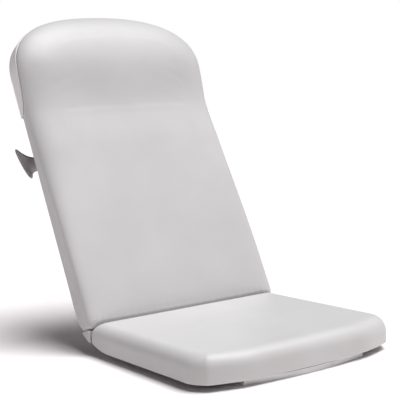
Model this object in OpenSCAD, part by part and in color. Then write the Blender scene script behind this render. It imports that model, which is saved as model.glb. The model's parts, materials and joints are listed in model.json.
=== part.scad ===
// Reclining padded floor seat for massage: seat cushion on a base tray, back cushion on a
// side-hinge pair, a linear recline lock inside the back and a release paddle behind its edge.

/* [Seat] */
// Width of the seat cushion
seat_w = 482; // [440:1:520]
// Depth of the seat cushion, from the crease to the middle of its front edge
seat_depth = 422; // [390:1:460]
// Thickness of both cushions
cushion_t = 56; // [52:1:64]
// How far the front edge bows forward at its middle
front_bow = 20; // [5:1:30]
// Radius of the seat's front corners, seen from above
seat_corner_r = 58; // [40:1:80]
// Radius of the seat's upper edge
seat_edge_r = 22; // [12:1:26]

/* [Back] */
// Width of the back cushion
back_w = 485; // [440:1:520]
// Length of the back cushion, from the crease to its top
back_len = 741; // [700:1:800]
// Height of the rounded top end
head_round_h = 148; // [120:1:180]
// Squareness of the rounded top end, where 2 is an ellipse
head_square = 2.4; // [2:0.1:4]
// Lean of the back at its most upright setting, from vertical
lean = 25.2; // [20:0.1:30]
// How far the head roll stands in front of the back's plane
head_roll = 13; // [5:1:20]

/* [Base tray] */
// Height of the tray
tray_h = 10.5; // [9:0.5:12]
// Sheet thickness of the tray
tray_t = 2.5; // [2:0.5:3]
// Half width of the tray at the front
tray_front_x = 146; // [130:1:170]
// Half width of the tray at the rear
tray_rear_x = 96; // [80:1:110]
// Half length of the tray, front to rear
tray_y = 235; // [220:1:240]
// Spacing of the four mounting holes, both ways
bolt_pitch = 200; // [160:5:220]
// Radius of the M8 clearance holes
bolt_hole_r = 4.5; // [4.5:0.1:5]

/* [Recline] */
// Depth of the hinge axis below the seat and behind the back
hinge_d = 13; // [13:0.5:14]
// Radius of the hinge pins
hinge_pin_r = 4; // [4:0.5:4.5]
// Throw of the lock pin, measured from the hinge axis
lock_throw = 15; // [14:0.5:15]
// Recline travel from the upright setting
recline_travel = 45; // [30:1:45]

/* [Paddle] */
// Height of the paddle's pivot up the back
paddle_u = 396; // [380:1:420]
// Middle of the paddle across the back
paddle_x = -212; // [-213:1:-208]

/* [Hidden] */

$fn = 48;
gap = 0.3;
skin = 1.5;
gasket_t = 1.5;
board_t = 12;
back_board_t = 10;
seat_lip = 30;
back_lip = 25;
head_steps = [0:10:80];
head_last = 0.12;
seat_bottom = tray_h + gasket_t;
board_low = seat_bottom + skin + 2.5;
board_top = board_low + board_t;
crease_y = 180;
crease_z = seat_bottom + cushion_t;
foam_low = board_top + 0.1 - crease_z;
half_angle = 45 + lean / 2;
hinge_y = hinge_d / tan(half_angle);
bracket_x = 200;
bracket_t = 3;
bracket_gap = 1.5;
bush_wall = 2;
hinge_room_x = bracket_x - 2.5;
hinge_room_w = 13.5;
clevis_w = 56;
running = 0.05;
eye_r = 9;
screw_r = 2;

// Outer corner of the L, where the seat's underside and the back's rear plane would meet
outer_y = cushion_t / tan(half_angle);
corner_start = [outer_y - 125, -cushion_t];
corner_end = along_back(35, cushion_t);

// Point at height u up the back and depth v behind its front plane, as y and z from the crease
function along_back(u, v) = [u * sin(lean) + v * cos(lean), u * cos(lean) - v * sin(lean)];
function height_on_back(p) = p[0] * sin(lean) + p[1] * cos(lean);
function depth_on_back(p) = p[0] * cos(lean) - p[1] * sin(lean);
// Rounded outer corner, from the seat's underside at 0 to the back's rear plane at 1
function corner(t) =
    corner_start * pow(1 - t, 2)
    + [outer_y, -cushion_t] * 2 * t * (1 - t)
    + corner_end * pow(t, 2);
// Where the corner curve crosses the seat's end plane and the back's end plane
corner_seat_t = 0.47;
corner_back_t = 0.69;

// ---------- placing and lofting ----------

module at_crease() translate([0, crease_y, crease_z]) children();
// Children are drawn with X across, Y behind the back's front plane and Z up the back
module on_back() at_crease() rotate([-lean, 0, 0]) children();
module at_hinge() at_crease() translate([0, hinge_y, -hinge_d]) children();
// Extrudes a Y, Z outline along X, from x to x + w
module across(x, w)
    translate([x, 0, 0]) rotate([90, 0, 90]) linear_extrude(w) children();
// Extrudes an X, Z outline from depth v to v + t on the back
module into_back(v, t)
    on_back() translate([0, v + t, 0]) rotate([90, 0, 0]) linear_extrude(t) children();
module both_sides() { children(); mirror([1, 0, 0]) children(); }

// A ring is its right half, then the left half mirrored and run backwards
function ring(half) = concat(
    half,
    [for (i = [len(half) - 1:-1:0]) [-half[i][0], half[i][1], half[i][2]]]
);
// Closed solid through rings of equal length; each end is closed by strips from side to side
module loft(rings) {
    n = len(rings[0]);
    last = (len(rings) - 1) * n;
    walls = [
        for (i = [0:len(rings) - 2], j = [0:n - 1])
            [i * n + j, i * n + (j + 1) % n, (i + 1) * n + (j + 1) % n, (i + 1) * n + j]
    ];
    near_end = [for (j = [0:n / 2 - 2]) [j, n - 1 - j, n - 2 - j, j + 1]];
    far_end = [for (j = [0:n / 2 - 2]) [last + j, last + j + 1, last + n - 2 - j, last + n - 1 - j]];
    polyhedron([for (r = rings) each r], concat(near_end, walls, far_end));
}

// ---------- seat cushion form ----------

// How far back the seat reaches at height z below its top
function seat_rear(z) =
    z > -hinge_d ? hinge_y * -z / hinge_d
    : let (t = sqrt((z + cushion_t) / (corner_end[1] + cushion_t)))
        min(hinge_y, corner(t)[0]);
// Right half of the seat's outline at height z, drawn in by d and by an edge rounding e
function seat_half(d, e, z) =
    let (
        w = seat_w / 2 - d - e,
        r = max(seat_corner_r - d - e, 4),
        front = seat_depth - front_bow - d - e,
        reach = z < -hinge_d ? seat_rear(max(z - 1.1 * d, -cushion_t)) : seat_rear(z),
        rear = reach - gap / 2 - 1.2 * d - 0.3 * e
    )
    [for (p = concat(
        [[w - 2, rear], [w, rear - 3], [w, -front * 0.35], [w, -front * 0.7]],
        [for (a = [0:15:60]) [w - r + r * cos(a), -front + r - r * sin(a)]],
        [for (k = [0.62, 0.4, 0.16]) [w * k, -front - front_bow * (1 - pow(k, 2))]]
    )) [p[0], crease_y + p[1], crease_z + z]];
// Rings of the seat's form drawn in by d, from height low to the top
function seat_rings(d, low) = concat(
    [for (z = [low, -53, -50, -46, foam_low, -35, -30])
        if (z == low || z > low + 0.5) ring(seat_half(d, 0, z))],
    [for (a = [0:18:90])
        ring(seat_half(
            d,
            (seat_edge_r - d) * (1 - cos(a)),
            -seat_edge_r + (seat_edge_r - d) * sin(a)
        ))]
);

// ---------- back cushion form ----------

function smooth(s) = let (c = min(max(s, 0), 1)) c * c * (3 - 2 * c);
// Depth of the front surface at height u: flat, a slight hollow, then the head roll
function back_front(u) =
    u < 620 ? 3 * smooth((u - 400) / 90) - (3 + head_roll) * smooth((u - 490) / 130)
    : -head_roll + (head_roll + 2) * pow((u - 620) / (back_len - 620), 2);
// Lower end of the back at depth v
function back_low(v) =
    v < hinge_d ? -hinge_y * v / hinge_d
    : let (reached = [for (t = [0:0.005:1]) if (depth_on_back(corner(t)) >= v) t])
        max(-hinge_y, height_on_back(corner(len(reached) > 0 ? reached[0] : 1)));
// Width and depth of the rounding between front and side at height u
function edge_width(u) = 12 + 58 * smooth((u - 100) / 400);
function edge_depth(u) = 12 + 20 * smooth((u - 100) / 400);
// Outline of the back from its lower right end to its top middle, as X and height, drawn in
// by d and by the part f of the local rounding, with its lower end at low
function back_outline(d, f, low) =
    let (
        w = back_w / 2 - d,
        base = back_len - head_round_h,
        e = f * edge_width(base)
    )
    concat(
        [[w - 2 - f * edge_width(0), low + 6 * f]],
        [for (u = [3, 60, 140, 250, 350, 430, 490, 550]) [w - f * edge_width(u), low + u]],
        [for (a = head_steps)
            [
                (w - e) * pow(cos(a), 2 / head_square),
                base + (head_round_h - d - e) * pow(sin(a), 2 / head_square)
            ]],
        [[(w - e) * head_last, base + head_round_h - d - e]]
    );
function to_back(x, u, v) =
    let (q = along_back(u, v)) [x, crease_y + q[0], crease_z + q[1]];
// Ring at one plain depth v, drawn in by d
function flat_ring(d, v) =
    ring([for (p = back_outline(d, 0, back_low(v + 0.9 * d) + gap / 2 + 1.2 * d))
        to_back(p[0], p[1], v)]);
// Ring on the rounded front edge, at angle a from the side at 0 to the front at 90
function edge_ring(d, a) =
    ring([for (p = back_outline(
            d, 1 - cos(a), back_low(12 * (1 - sin(a))) + gap / 2 + 1.2 * d))
        to_back(p[0], p[1], back_front(p[1]) + d + (edge_depth(p[1]) - d) * (1 - sin(a)))]);
// Rings of the back's form drawn in by d, from depth rear to the front
function back_rings(d, rear) = concat(
    [for (v = [rear, 50, 44, 36]) if (v == rear || v < rear - 3) flat_ring(d, v)],
    [for (a = [0:18:90]) edge_ring(d, a)]
);
function reversed(list) = [for (i = [len(list) - 1:-1:0]) list[i]];

// ---------- base tray ----------

lid_t = 1.5;
spacer_r = 6;

// Outline of the tray, drawn in by d, with a bowed front edge
module tray_outline(d) {
    front = [for (k = [-1:0.25:1]) [
        (tray_front_x - d) * k,
        -tray_y + d + (front_bow - 3) * pow(k, 2)
    ]];
    polygon(concat(front, [
        [tray_front_x - d, 30],
        [tray_rear_x - d, tray_y - 40],
        [tray_rear_x - d - 25, tray_y - d],
        [-tray_rear_x + d + 25, tray_y - d],
        [-tray_rear_x + d, tray_y - 40],
        [-tray_front_x + d, 30]
    ]));
}
module at_bolts()
    for (x = [-0.5, 0.5], y = [-0.5, 0.5]) translate([x * bolt_pitch, y * bolt_pitch, 0])
        children();
module at_base_screws()
    for (x = [-118, 0, 118], y = [-190, 20]) translate([x * (y > 0 ? 0.9 : 1), y, 0])
        children();
module base_tray() {
    color("gainsboro")
    difference() {
        linear_extrude(tray_h) tray_outline(0);
        translate([0, 0, tray_t]) linear_extrude(tray_h) tray_outline(tray_t);
        at_bolts() translate([0, 0, -1]) cylinder(r = bolt_hole_r, h = tray_t + 2);
        at_base_screws() translate([0, 0, -1]) cylinder(r = spacer_r + 0.1, h = tray_t + 2);
    }
}
module base_lid() {
    color("gainsboro")
    difference() {
        translate([0, 0, tray_h - lid_t]) linear_extrude(lid_t) tray_outline(tray_t + 0.1);
        at_base_screws() cylinder(r = spacer_r + 0.1, h = tray_h + 1);
    }
}
module base_gasket() {
    color("dimgray")
    translate([0, 0, tray_h]) linear_extrude(gasket_t) intersection() {
        difference() {
            tray_outline(1);
            tray_outline(9);
        }
        translate([-200, -300]) square([400, 300 + crease_y + corner_start[0] - 4]);
    }
}
module base_nuts() {
    color("silver")
    at_bolts() translate([0, 0, tray_t]) difference() {
        cylinder(r = 7.5, h = tray_h - tray_t - 2, $fn = 6);
        translate([0, 0, -1]) cylinder(r = 4, h = tray_h);
    }
}
module base_spacers() {
    color("silver")
    at_base_screws() translate([0, 0, 1.5]) difference() {
        cylinder(r = spacer_r, h = board_low - 1.5);
        translate([0, 0, -1]) cylinder(r = screw_r, h = board_low + 2);
        translate([0, 0, -1]) cylinder(r = 4.5, h = 3);
    }
}
module base_screws() {
    color("silver")
    at_base_screws() translate([0, 0, 1.5]) {
        cylinder(r = 4.4, h = 1.9);
        cylinder(r = screw_r, h = board_low + 7.5);
    }
}

// ---------- seat ----------

module seat_board() {
    color("burlywood")
    difference() {
        translate([0, 0, board_low]) linear_extrude(board_t) polygon([
            [seat_w / 2 - 9, crease_y - 60],
            [seat_w / 2 - 9, crease_y - seat_depth + 90],
            [seat_w / 2 - 40, crease_y - seat_depth + 45],
            [90, crease_y - seat_depth + 14],
            [-90, crease_y - seat_depth + 14],
            [-seat_w / 2 + 40, crease_y - seat_depth + 45],
            [-seat_w / 2 + 9, crease_y - seat_depth + 90],
            [-seat_w / 2 + 9, crease_y - 60],
            [-30, crease_y - 60],
            [-30, crease_y - 48],
            [30, crease_y - 48],
            [30, crease_y - 60]
        ]);
        at_base_screws() cylinder(r = screw_r, h = board_low + 9);
        at_seat_bracket_screws() screw_hole();
        at_clevis_screws() screw_hole();
    }
}
module seat_foam() {
    color("khaki")
    difference() {
        loft(seat_rings(skin + gap, foam_low));
        both_sides() translate([bracket_x - 24, crease_y - 156, 0])
            cube([hinge_room_w + 22, 200, crease_z - 4.5]);
        translate([-14, crease_y - 130, 0]) cube([28, 200, crease_z - 12]);
        translate([-clevis_w / 2 - 1, crease_y - 123, 0]) cube([clevis_w + 2, 58, board_top + 6]);
    }
}
module seat_cover() {
    color("gainsboro")
    difference() {
        loft(concat(
            reversed(seat_rings(skin, -cushion_t + skin)),
            [ring(seat_half(seat_lip, 0, -cushion_t + skin)), ring(seat_half(seat_lip, 0, -cushion_t))],
            seat_rings(0, -cushion_t)
        ));
        both_sides() translate([hinge_room_x, crease_y - 30, crease_z - 37])
            cube([hinge_room_w, 60, 34]);
        translate([-12, crease_y - 30, crease_z - 40]) cube([24, 60, 36]);
    }
}
module seat_bottom_cloth() {
    color("dimgray")
    difference() {
        translate([0, 0, seat_bottom + gap]) linear_extrude(1) polygon([
            for (p = ring(seat_half(seat_lip + 0.5, 0, -cushion_t))) [p[0], p[1]]
        ]);
        at_base_screws() cylinder(r = 6.1, h = crease_z);
    }
}

// ---------- hinges ----------

// Flat strap eye with an arm, in the Y, Z plane
module seat_bracket(x, side) {
    flange_x = side > 0 ? x - 22 : x;
    color("silver")
    at_crease() difference() {
        union() {
            translate([x, hinge_y, -hinge_d]) rotate([0, 90, 0]) cylinder(r = eye_r, h = bracket_t);
            across(x, bracket_t) polygon([
                [hinge_y, -hinge_d - eye_r],
                [-62, board_top - crease_z],
                [-150, board_top - crease_z],
                [-150, board_top - crease_z + 8],
                [-66, -24],
                [hinge_y, -hinge_d + eye_r]
            ]);
            translate([flange_x, -150, board_top - crease_z]) cube([22 + bracket_t, 86, 3]);
        }
        translate([x - 1, hinge_y, -hinge_d]) rotate([0, 90, 0])
            cylinder(r = hinge_pin_r, h = bracket_t + 2);
        translate([0, -crease_y, -crease_z]) at_seat_bracket_screws() screw_hole();
    }
}
module at_seat_bracket_screws()
    both_sides() for (y = [-138, -107, -76]) translate([bracket_x - 10, crease_y + y, board_top])
        children();
module screw_hole() translate([0, 0, -9]) cylinder(r = screw_r, h = 20);
module screw(plate) {
    translate([0, 0, -9]) cylinder(r = screw_r, h = 9 + plate);
    translate([0, 0, plate]) cylinder(r = 4.2, h = 2.2);
}
module seat_bracket_left() seat_bracket(-bracket_x - bracket_t, -1);
module seat_bracket_right() seat_bracket(bracket_x, 1);
module seat_bracket_screws() color("dimgray") at_seat_bracket_screws() screw(bracket_t);
// Headed pin, riveted to the seat bracket and running in the back bracket's bush
module hinge_pin_right() {
    color("silver")
    at_hinge() translate([bracket_x, 0, 0]) rotate([0, 90, 0]) {
        cylinder(r = hinge_pin_r, h = 2 * bracket_t + bracket_gap + 2.6);
        translate([0, 0, -1.8]) cylinder(r = 6.5, h = 1.8);
    }
}
module hinge_pin_left() mirror([1, 0, 0]) hinge_pin_right();
module hinge_bush_right() {
    x = bracket_x + bracket_t + 0.2;
    color("ivory")
    at_hinge() translate([x, 0, 0]) rotate([0, 90, 0]) difference() {
        union() {
            cylinder(r = eye_r - 0.5, h = bracket_gap - 0.2);
            cylinder(r = hinge_pin_r + bush_wall, h = bracket_gap - 0.2 + bracket_t + 0.6);
        }
        translate([0, 0, -1]) cylinder(r = hinge_pin_r + running, h = 20);
    }
}
module hinge_bush_left() mirror([1, 0, 0]) hinge_bush_right();
back_plate_v = cushion_t - skin - gap - back_board_t;
module back_bracket(x, side) {
    flange_x = side > 0 ? x - 22 : x;
    color("silver")
    difference() {
        union() {
            at_hinge() translate([x, 0, 0]) rotate([0, 90, 0])
                cylinder(r = eye_r, h = bracket_t);
            on_back() across(x, bracket_t) polygon([
                [hinge_d - eye_r + 1, -hinge_y],
                [hinge_d + eye_r - 1, -hinge_y],
                [back_plate_v, 40],
                [back_plate_v, 135],
                [back_plate_v - 8, 135],
                [14, 30]
            ]);
            on_back() translate([flange_x, back_plate_v - bracket_t, 45])
                cube([22 + bracket_t, bracket_t, 90]);
        }
        at_hinge() translate([x - 1, 0, 0]) rotate([0, 90, 0])
            cylinder(r = hinge_pin_r + bush_wall, h = bracket_t + 2);
        at_back_bracket_screws() screw_hole();
    }
}
module at_back_bracket_screws()
    both_sides() on_back() for (u = [58, 90, 122])
        translate([bracket_x - 5, back_plate_v, u]) rotate([90, 0, 0]) children();
module back_bracket_right() back_bracket(bracket_x + bracket_t + bracket_gap, 1);
module back_bracket_left() back_bracket(-bracket_x - 2 * bracket_t - bracket_gap, -1);
module back_bracket_screws() color("dimgray") at_back_bracket_screws() screw(bracket_t);
// Flexible strip that closes the outer corner between the two cushions
module hinge_gusset() {
    ts = [for (k = [0:5]) corner_seat_t + 0.02 + (corner_back_t - corner_seat_t - 0.04) * k / 5];
    pin = [hinge_y, -hinge_d];
    function inner(p) = p + (pin - p) * 2 / norm(pin - p);
    color("gainsboro")
    at_crease() across(-seat_w / 2 + 8, seat_w - 16) polygon(concat(
        [for (t = ts) corner(t)],
        [for (t = reversed(ts)) inner(corner(t))]
    ));
}

// ---------- recline lock ----------

lock_pin_r = 3;
pin_angle = lean + recline_travel / 2;
pin_y = hinge_y + lock_throw * cos(pin_angle);
pin_z = -hinge_d - lock_throw * sin(pin_angle);
lock_v = hinge_d + lock_throw * (1 + cos(recline_travel / 2)) / 2;
eye_u = -hinge_y - lock_throw * sin(recline_travel / 2);
rod_r = 4;
housing_r = 9.5;
housing_u = 45;
housing_len = 105;
lever_u = 163;
lever_arm = 16;
saddle_t = 2.5;
cable_v = 40.6;
module at_clevis_screws()
    for (x = [-20, 20], y = [-112, -76]) translate([x, crease_y + y, board_top]) children();
module lock_clevis() {
    color("silver")
    difference() {
        union() {
            translate([-clevis_w / 2, crease_y - 122, board_top]) cube([clevis_w, 56, bracket_t]);
            both_sides() at_crease() {
                translate([5, pin_y, pin_z]) rotate([0, 90, 0]) cylinder(r = 6, h = 4);
                across(5, 4) polygon([
                    [pin_y, pin_z - 6],
                    [-62, board_top - crease_z],
                    [-110, board_top - crease_z],
                    [-110, board_top - crease_z + 8],
                    [-60, -30],
                    [pin_y - 16, pin_z - 0.5],
                    [pin_y, pin_z + 6]
                ]);
            }
        }
        at_crease() translate([-10, pin_y, pin_z]) rotate([0, 90, 0])
            cylinder(r = lock_pin_r, h = 20);
        at_clevis_screws() screw_hole();
    }
}
module lock_pin() {
    color("dimgray")
    at_crease() translate([-10, pin_y, pin_z]) rotate([0, 90, 0]) {
        cylinder(r = lock_pin_r, h = 20);
        translate([0, 0, -0.4]) cylinder(r = 4.5, h = 1.2);
    }
}
module clevis_screws() color("dimgray") at_clevis_screws() screw(bracket_t);
module lock_rod() {
    color("silver")
    on_back() difference() {
        union() {
            translate([-4, lock_v, eye_u]) rotate([0, 90, 0]) cylinder(r = 6.2, h = 8);
            translate([0, lock_v, eye_u + 4]) cylinder(r = rod_r, h = 205);
        }
        translate([-6, lock_v, eye_u]) rotate([0, 90, 0])
            cylinder(r = lock_pin_r + 0.85, h = 12);
    }
}
module lock_housing() {
    color("dimgray")
    on_back() translate([0, lock_v, housing_u]) difference() {
        union() {
            cylinder(r = housing_r, h = housing_len);
            cylinder(r = housing_r + 1.5, h = 4);
        }
        translate([0, 0, -1]) cylinder(r = rod_r + running, h = housing_len + 2);
    }
}
module lock_saddle() {
    color("silver")
    on_back() difference() {
        union() {
            translate([-26, back_plate_v - saddle_t, 30]) cube([52, saddle_t, 155]);
            for (u = [60, 138]) translate([-13, lock_v - 11, u])
                cube([26, back_plate_v - lock_v + 11, 5]);
            translate([0, back_plate_v, lever_u]) rotate([90, 0, 0]) cylinder(r = 2.5, h = 8.5);
            translate([-22, back_plate_v - 8, 182]) cube([12, 8, 3]);
        }
        translate([0, lock_v, 0]) cylinder(r = housing_r + running, h = 200);
        translate([-lever_arm, cable_v, 170]) cylinder(r = 1.2, h = 30);
        saddle_screw_places() screw_hole();
    }
}
module saddle_screw_places()
    for (x = [-20, 20], u = [80, 150]) translate([x, back_plate_v, u]) rotate([90, 0, 0])
        children();
module at_saddle_screws() on_back() saddle_screw_places() children();
module saddle_screws() color("dimgray") at_saddle_screws() screw(saddle_t);
module lock_lever() {
    color("gold")
    on_back() translate([0, cable_v - 0.8, lever_u]) rotate([90, 0, 0]) difference() {
        union() {
            cylinder(r = 6, h = 2.4);
            translate([-lever_arm, -3, 0]) cube([lever_arm, 6, 2.4]);
            translate([-lever_arm, 0, 0]) cylinder(r = 3.4, h = 2.4);
            translate([-2.5, -14, 0]) cube([5, 12, 2.4]);
        }
        translate([0, 0, -1]) cylinder(r = 2.5 + running, h = 5);
        translate([-lever_arm, 0, -1]) cylinder(r = 1.4, h = 5);
    }
}

// ---------- back ----------

function board_half(d) = concat(
    [[back_w / 2 - d, 40], [back_w / 2 - d, 300], [back_w / 2 - d, back_len - head_round_h]],
    [for (a = [10:12:82]) [
        (back_w / 2 - d) * pow(cos(a), 2 / head_square),
        back_len - head_round_h + (head_round_h - d) * pow(sin(a), 2 / head_square)
    ]]
);
// Notch for the paddle's housing, at depths v to v + t
module paddle_notch(v, t, clear)
    on_back() translate([paddle_x - 18 - clear, v, paddle_u - 24 - clear])
        cube([36 + 2 * clear, t, 48 + 2 * clear]);
module back_board() {
    half = board_half(14);
    color("burlywood")
    difference() {
        into_back(back_plate_v, back_board_t) polygon(concat(
            half, [for (p = reversed(half)) [-p[0], p[1]]]
        ));
        paddle_notch(back_plate_v - 1, 20, gap);
        at_back_bracket_screws() screw_hole();
        at_saddle_screws() screw_hole();
    }
}
module back_foam() {
    color("khaki")
    difference() {
        loft(back_rings(skin + gap, back_plate_v - 0.1));
        both_sides() on_back() translate([bracket_x - 19, 2.5, -40])
            cube([hinge_room_w + 17, 60, 178]);
        on_back() translate([-27, lock_v - 13, -40]) cube([54, 60, 258]);
        paddle_notch(28, 30, 4);
        into_back(cable_v - 6, 20) polygon(concat(
            [for (i = [0:len(route) - 1]) route[i] + cable_side(i) * 9],
            [for (i = [len(route) - 1:-1:0]) route[i] - cable_side(i) * 9]
        ));
    }
}
module back_cover() {
    color("gainsboro")
    difference() {
        loft(concat(
            reversed(back_rings(skin, cushion_t - skin)),
            [flat_ring(back_lip, cushion_t - skin), flat_ring(back_lip, cushion_t)],
            back_rings(0, cushion_t)
        ));
        both_sides() on_back() translate([hinge_room_x, 3, -30]) cube([hinge_room_w, 40, 40]);
        on_back() translate([-12, 10, -30]) cube([24, 34, 40]);
        paddle_notch(cushion_t - skin - 1, 5, gap);
    }
}
module back_rear_panel() {
    color("whitesmoke")
    difference() {
        loft([for (v = [cushion_t - skin + 0.1, cushion_t]) flat_ring(back_lip + 0.5, v)]);
        paddle_notch(cushion_t - skin - 1, 5, gap);
    }
}
// Shell that wraps the sides, the top and the rear of the head end
cap_low = 502;
cap_t = 2.5;
function cap_rim(u) =
    let (q = min(max((cap_low + 43 - u) / 43, 0), 1))
        cushion_t + gap / 2 - 44 * sqrt(1 - pow(q, 2));
function cap_outline(d) =
    let (w = back_w / 2 - d, base = back_len - head_round_h)
    concat(
        [for (u = [0, 1.5, 5, 11, 20, 43]) [w, cap_low + u]],
        [for (a = head_steps) [
            w * pow(cos(a), 2 / head_square),
            base + (head_round_h - d) * pow(sin(a), 2 / head_square)
        ]],
        [[w * head_last, base + head_round_h - d]]
    );
module head_rear_cap() {
    rear = cushion_t + gap + cap_t;
    color("whitesmoke")
    loft([
        ring([for (p = cap_outline(-gap)) to_back(p[0], p[1], cushion_t + gap)]),
        ring([for (p = cap_outline(-gap)) to_back(p[0], p[1], cap_rim(p[1]))]),
        ring([for (p = cap_outline(-gap - cap_t)) to_back(p[0], p[1], cap_rim(p[1]) + 0.4)]),
        ring([for (p = cap_outline(-gap - cap_t))
            to_back(p[0], p[1], max(rear - 5, cap_rim(p[1]) + 0.9))]),
        ring([for (p = cap_outline(-gap - cap_t + 2)) to_back(p[0], p[1], rear - 1)]),
        ring([for (p = cap_outline(3)) to_back(p[0], p[1], rear)])
    ]);
}

// ---------- paddle and cable ----------

pivot_v = back_plate_v + back_board_t / 2;
paddle_pin_r = 2;
module at_pivot() on_back() translate([paddle_x, pivot_v, paddle_u]) children();
// Right half of an oval section at depth v, with its middle at height c
function oval(v, c, high, wide, tilt) = [
    for (a = [-80:20:80]) to_back(
        wide * pow(cos(a), 0.8),
        c + high * sin(a),
        v + tilt * high * sin(a)
    )
];
module release_paddle() {
    sections = [
        [cushion_t - 3, 0, 11, 8, 0],
        [cushion_t + 2, 0, 15, 11, 0],
        [cushion_t + 14, 1, 16, 12, 0],
        [cushion_t + 27, 5, 20, 14, 0.05],
        [cushion_t + 38, 12, 27, 17, 0.12],
        [cushion_t + 47, 17, 34, 20, 0.18],
        [cushion_t + 53, 19, 38, 22, 0.21],
        [cushion_t + 57, 19, 37, 21, 0.21],
        [cushion_t + 58, 19, 31, 16, 0.21],
        [cushion_t + 54, 19, 20, 8, 0.21]
    ];
    color("dimgray")
    difference() {
        union() {
            translate([paddle_x, 0, 0]) loft([
                for (s = sections) ring(oval(s[0], paddle_u + s[1], s[2], s[3], s[4]))
            ]);
            at_pivot() translate([-6, 0, 0]) rotate([0, 90, 0]) cylinder(r = 7, h = 18);
            at_pivot() translate([2, -14, -3.5]) cube([4, 12, 7]);
        }
        at_pivot() translate([-20, 0, 0]) rotate([0, 90, 0])
            cylinder(r = paddle_pin_r + running, h = 40);
        at_pivot() translate([0, -11.5, 0]) rotate([0, 90, 0]) cylinder(r = 1, h = 10);
    }
}
module paddle_housing() {
    color("dimgray")
    at_pivot() difference() {
        translate([-18, -5, -24]) cube([36, back_board_t + skin + gap + 1, 48]);
        translate([-14, -10, -20]) cube([28, 30, 40]);
        translate([-20, 0, 0]) rotate([0, 90, 0]) cylinder(r = paddle_pin_r, h = 40);
    }
}
module paddle_pin() {
    color("silver")
    at_pivot() translate([-17.5, 0, 0]) rotate([0, 90, 0]) cylinder(r = paddle_pin_r, h = 35);
}
module paddle_spring() {
    color("silver")
    at_pivot() {
        for (k = [0:3]) translate([-13 + 1.3 * k, 0, 0]) rotate([0, 90, 0])
            rotate_extrude() translate([3.6, 0]) circle(r = 0.6);
        translate([-13, 4.3, 1]) cylinder(r = 0.5, h = 13);
        translate([-9.1, -4.3, -14]) cylinder(r = 0.5, h = 13);
    }
}
// Route of the release cable on the back: X, height, at one depth
cable_x = paddle_x + 4;
route = [
    [cable_x, 376], [cable_x, 350], [-204, 325], [-192, 303], [-170, 286], [-142, 274],
    [-112, 264], [-84, 254], [-58, 243], [-36, 228], [-22, 210], [-lever_arm, 186.2]
];
cable_r = 2.5;
// Unit vector across the route at point i, as X and height
function cable_side(i) =
    let (
        run = route[min(i + 1, len(route) - 1)] - route[max(i - 1, 0)]
    )
    [-run[1], run[0]] / norm(run);
// Eight-sided ring across the route at point i
function cable_ring(i) =
    [for (k = [0:7])
        let (p = route[i] + cable_side(i) * cable_r * cos(45 * k))
        to_back(p[0], p[1], cable_v + cable_r * sin(45 * k))];
module release_cable() {
    n = len(route);
    color("black") {
        polyhedron(
            [for (i = [0:n - 1]) each cable_ring(i)],
            concat(
                [[for (k = [7:-1:0]) k]],
                [for (i = [0:n - 2], k = [0:7]) [
                    i * 8 + k, i * 8 + (k + 1) % 8,
                    (i + 1) * 8 + (k + 1) % 8, (i + 1) * 8 + k
                ]],
                [[for (k = [0:7]) (n - 1) * 8 + k]]
            )
        );
        on_back() translate([cable_x, cable_v, route[0][1]]) cylinder(r = 0.7, h = 14, $fn = 16);
        on_back() translate([-lever_arm, cable_v, lever_u + 4])
            cylinder(r = 0.7, h = route[n - 1][1] - lever_u - 4, $fn = 16);
    }
}
module cable_clips() {
    color("black")
    for (i = [2, 5, 8]) on_back() translate([route[i][0], cable_v, route[i][1]])
        rotate([90, 0, 0]) rotate([0, 0, atan2(cable_side(i)[1], cable_side(i)[0])]) difference() {
            translate([-7, -5, cable_v - back_plate_v]) cube([14, 10, back_plate_v - cable_v + 5]);
            translate([-4, -6, -4]) cube([8, 12, 8]);
        }
}

// ---------- draw ----------

base_tray();
base_lid();
base_gasket();
base_nuts();
base_spacers();
base_screws();
seat_board();
seat_foam();
seat_cover();
seat_bottom_cloth();
seat_bracket_left();
seat_bracket_right();
seat_bracket_screws();
hinge_pin_left();
hinge_pin_right();
lock_clevis();
lock_pin();
clevis_screws();
hinge_gusset();
back_board();
back_foam();
back_cover();
back_rear_panel();
head_rear_cap();
back_bracket_left();
back_bracket_right();
back_bracket_screws();
hinge_bush_left();
hinge_bush_right();
lock_housing();
lock_saddle();
saddle_screws();
lock_rod();
lock_lever();
release_cable();
cable_clips();
paddle_housing();
release_paddle();
paddle_pin();
paddle_spring();
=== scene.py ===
"""Looks of the reclining massage floor seat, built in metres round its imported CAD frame."""

import json
import math

import bmesh
import bpy
import numpy as np
from mathutils import Matrix, Vector


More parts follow.
